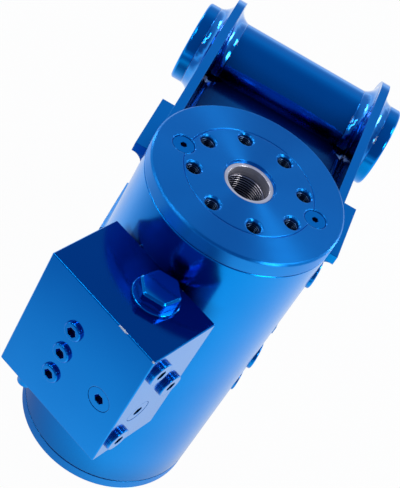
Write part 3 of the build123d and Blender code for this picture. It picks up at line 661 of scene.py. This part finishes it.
# %% Floor
FLOOR_HALF = 6.0
FLOOR_DROP = 0.5 * MM
floor_mesh = bpy.data.meshes.new("floor")
corners = [(x * FLOOR_HALF, y * FLOOR_HALF, 0) for x, y in ((-1, -1), (1, -1), (1, 1), (-1, 1))]
floor_mesh.from_pydata(corners, [], [(0, 1, 2, 3)])
floor = bpy.data.objects.new("floor", floor_mesh)
bpy.context.scene.collection.objects.link(floor)
floor.location.z = -FLOOR_DROP
print("floor of", 2 * FLOOR_HALF, "m")

# %% [markdown]
# ## What the paint mirrors in the floor
# The real part's paint mirrors a floor that isn't white all over. A picture of a studio could
# bring this back, but the mirrored floor only needs four simple marks of painted shade: dimmer
# toward the front left, a little dimmer far out, a painted shadow beside the part's left foot,
# and a black painted shadow under the flange, so that no light comes up the bore.

# %% Mirrored floor
WHITE = (1.0, 1.0, 1.0)
BLACK = (0.0, 0.0, 0.0)
LEFTWARD = (-0.7, -0.7, 0.0)
# Painted shade on the mirrored floor: dimmer to the front left and far out, a shadow at the foot.
DIM_FLOOR = (0.27, 0.33, 0.47)
DIM_SPAN = (0.14, 0.40)
FAR_FLOOR = (0.75, 0.80, 0.90)
FAR_SPAN = (0.7, 1.6)
FOOT_SHADOW = (0.10, 0.15, 0.28)
FOOT_SPAN = (0.10, 0.24)
FOOT_SIDE = (-0.13, 0.03)
FOOT_RIGHT = 0.15
BORE_SHADOW_SPAN = (0.03, 0.06)


def mirrored_floor(tree, place):
    """Colour of the floor as a gloss sees it, with its painted shade and shadows."""
    leftward = add_node(
        tree, "ShaderNodeVectorMath", {0: place, 1: LEFTWARD}, operation="DOT_PRODUCT"
    )
    dim = spread(tree, leftward.outputs["Value"], 0.0, 1.0, *DIM_SPAN)
    colour = mix(tree, dim, WHITE, DIM_FLOOR)
    away = add_node(tree, "ShaderNodeVectorMath", {0: place}, operation="LENGTH").outputs["Value"]
    colour = mix(tree, spread(tree, away, 0.0, 1.0, *FAR_SPAN), colour, FAR_FLOOR)
    # Painted shadow beside the part's left foot, and black painted shadow under the flange.
    sideways = add_node(tree, "ShaderNodeSeparateXYZ", {"Vector": place}).outputs["X"]
    near = spread(tree, away, 1.0, 0.0, *FOOT_SPAN)
    foot = calc(tree, "MULTIPLY", near, spread(tree, sideways, 1.0, FOOT_RIGHT, *FOOT_SIDE))
    colour = mix(tree, foot, colour, FOOT_SHADOW)
    return mix(tree, spread(tree, away, 0.0, 1.0, *BORE_SHADOW_SPAN), BLACK, colour)


print("mirrored floor fades from", FAR_SPAN[0], "to", FAR_SPAN[1], "m")

# %% [markdown]
# ## Floor finish
# For the camera and glass the floor is lifted almost to white by a plain glow, and for a gloss to
# the marked colour above, while a small share of the real surface stays and keeps the soft
# shadow. Lighting it white with lamps would burn out the part instead.

# %% Floor finish
SEEN_SHARE = 0.97
SPECK_SCALE = 40.0
PALE = ((0.92, 0.92, 0.92), (0.95, 0.95, 0.95))


def pale_floor():
    """Pale rough floor that the camera sees as white, and a gloss with its marks."""
    material, tree, shader = new_material("pale_floor")
    place = place_of(tree)
    pale = ramp(tree, noise(tree, place, SPECK_SCALE), [(0.0, PALE[0]), (1.0, PALE[1])])
    tree.links.new(pale, shader.inputs["Base Color"])
    shader.inputs["Roughness"].default_value = 0.9
    path = add_node(tree, "ShaderNodeLightPath").outputs
    seen = calc(tree, "ADD", path["Is Camera Ray"], path["Is Glossy Ray"])
    seen = calc(tree, "ADD", seen, path["Is Transmission Ray"])
    glow = mix(tree, path["Is Glossy Ray"], WHITE, mirrored_floor(tree, place))
    white = add_node(tree, "ShaderNodeEmission", {"Color": glow, "Strength": 1.0})
    share = calc(tree, "MULTIPLY", seen, SEEN_SHARE)
    inputs = {0: share, 1: shader.outputs[0], 2: white.outputs[0]}
    both = add_node(tree, "ShaderNodeMixShader", inputs)
    tree.links.new(both.outputs[0], tree.nodes["Material Output"].inputs["Surface"])
    return material


floor_mesh.materials.append(pale_floor())
print("floor finish:", floor_mesh.materials[0].name)

# %% [markdown]
# ## Studio walls
# The paint's depth comes from what it mirrors. Behind the part the wall is white at the horizon
# and fades upward, while on the camera's side it is dark, so the tube gets a light upper band
# and a deep blue middle. Real walls could be built, but they would stand in the way of the other
# views, so the world's colour follows the height and the side instead. A wall is told by places
# from the horizon to straight up, each with its level of light.

# %% Studio walls
BACK_WALL = [
    (0.0, 1.0),
    (0.1, 0.80),
    (0.3, 0.52),
    (0.7, 0.52),
    (0.82, 0.42),
    (0.93, 0.32),
    (1.0, 0.28),
]
FRONT_WALL = [(0.0, 0.55), (0.05, 0.50), (0.15, 0.28), (0.7, 0.26), (1.0, 0.28)]
WALL_BLEND = (-0.15, 0.35)


def cool(level):
    """Grey that turns bluer the darker it is, as the shaded parts of the studio do."""
    return level**1.7, level**1.45, level


def wall(tree, height, levels):
    """Colour of one wall by its height, from levels that are read as cool greys."""
    return ramp(tree, height, [(place, cool(level)) for place, level in levels])


def studio_world():
    """World whose colour stands for a dark front wall and a light back wall."""
    studio = bpy.data.worlds.new("studio")
    studio.use_nodes = True
    tree = studio.node_tree
    background = tree.nodes["Background"]
    way = add_node(tree, "ShaderNodeTexCoord").outputs["Generated"]
    split = add_node(tree, "ShaderNodeSeparateXYZ", {"Vector": way})
    walls = [wall(tree, split.outputs["Z"], levels) for levels in (FRONT_WALL, BACK_WALL)]
    behind = spread(tree, split.outputs["Y"], 0.0, 1.0, *WALL_BLEND)
    tree.links.new(mix(tree, behind, *walls), background.inputs["Color"])
    background.inputs["Strength"].default_value = 1.0
    return studio


bpy.context.scene.world = studio_world()
print("walls:", len(FRONT_WALL), "and", len(BACK_WALL), "levels")

# %% [markdown]
# ## Lamps
# Soft lamps draw the thin glints on the chamfers and the welds. The key lamp stands at the front
# right, the fan lamp over the front face to draw its fan, the left lamp and the rim strip on the
# left, and two lie low at the rear for the sides that other views see. Each is small, because
# the paint would mirror a large one as a pale patch. Their light stops at the first surface, as
# a lamp mirrored twice leaves a hard blue spot beside the valve block. Each is told by its
# direction from the part's middle, its distance, its width and height, and its power.

# %% Lamps
AIM = Vector((0, 0.05, 0.2))
LAMPS = {
    "key_lamp": ((0.70, -0.38, 0.60), 1.7, (0.45, 0.45), 5.5),
    "rim_lamp": ((-0.78, -0.20, 0.56), 1.7, (1.2, 0.1), 2.5),
    "left_lamp": ((-0.45, -0.25, 0.86), 1.7, (0.5, 0.5), 2.5),
    "fan_lamp": ((0.50, 0.22, 0.84), 1.7, (0.4, 0.4), 3.6),
    "side_lamp": ((0.82, 0.56, 0.12), 1.8, (0.35, 0.35), 3.0),
    "back_lamp": ((-0.75, 0.62, 0.22), 1.8, (0.30, 0.30), 2.0),
}


def soft_lamp(name, direction, distance, size, power):
    """Lamp of that width and height, in a direction from the part's middle."""
    data = bpy.data.lights.new(name, "AREA")
    data.shape = "RECTANGLE"
    data.size, data.size_y = size
    data.energy = power
    data.cycles.max_bounces = 0
    lamp = bpy.data.objects.new(name, data)
    lamp.location = AIM + Vector(direction).normalized() * distance
    lamp.rotation_euler = (AIM - lamp.location).to_track_quat("-Z", "Y").to_euler()
    bpy.context.scene.collection.objects.link(lamp)


for name, settings in LAMPS.items():
    soft_lamp(name, *settings)
bpy.context.scene.view_settings.view_transform = "Standard"
print("lamps:", len(LAMPS))
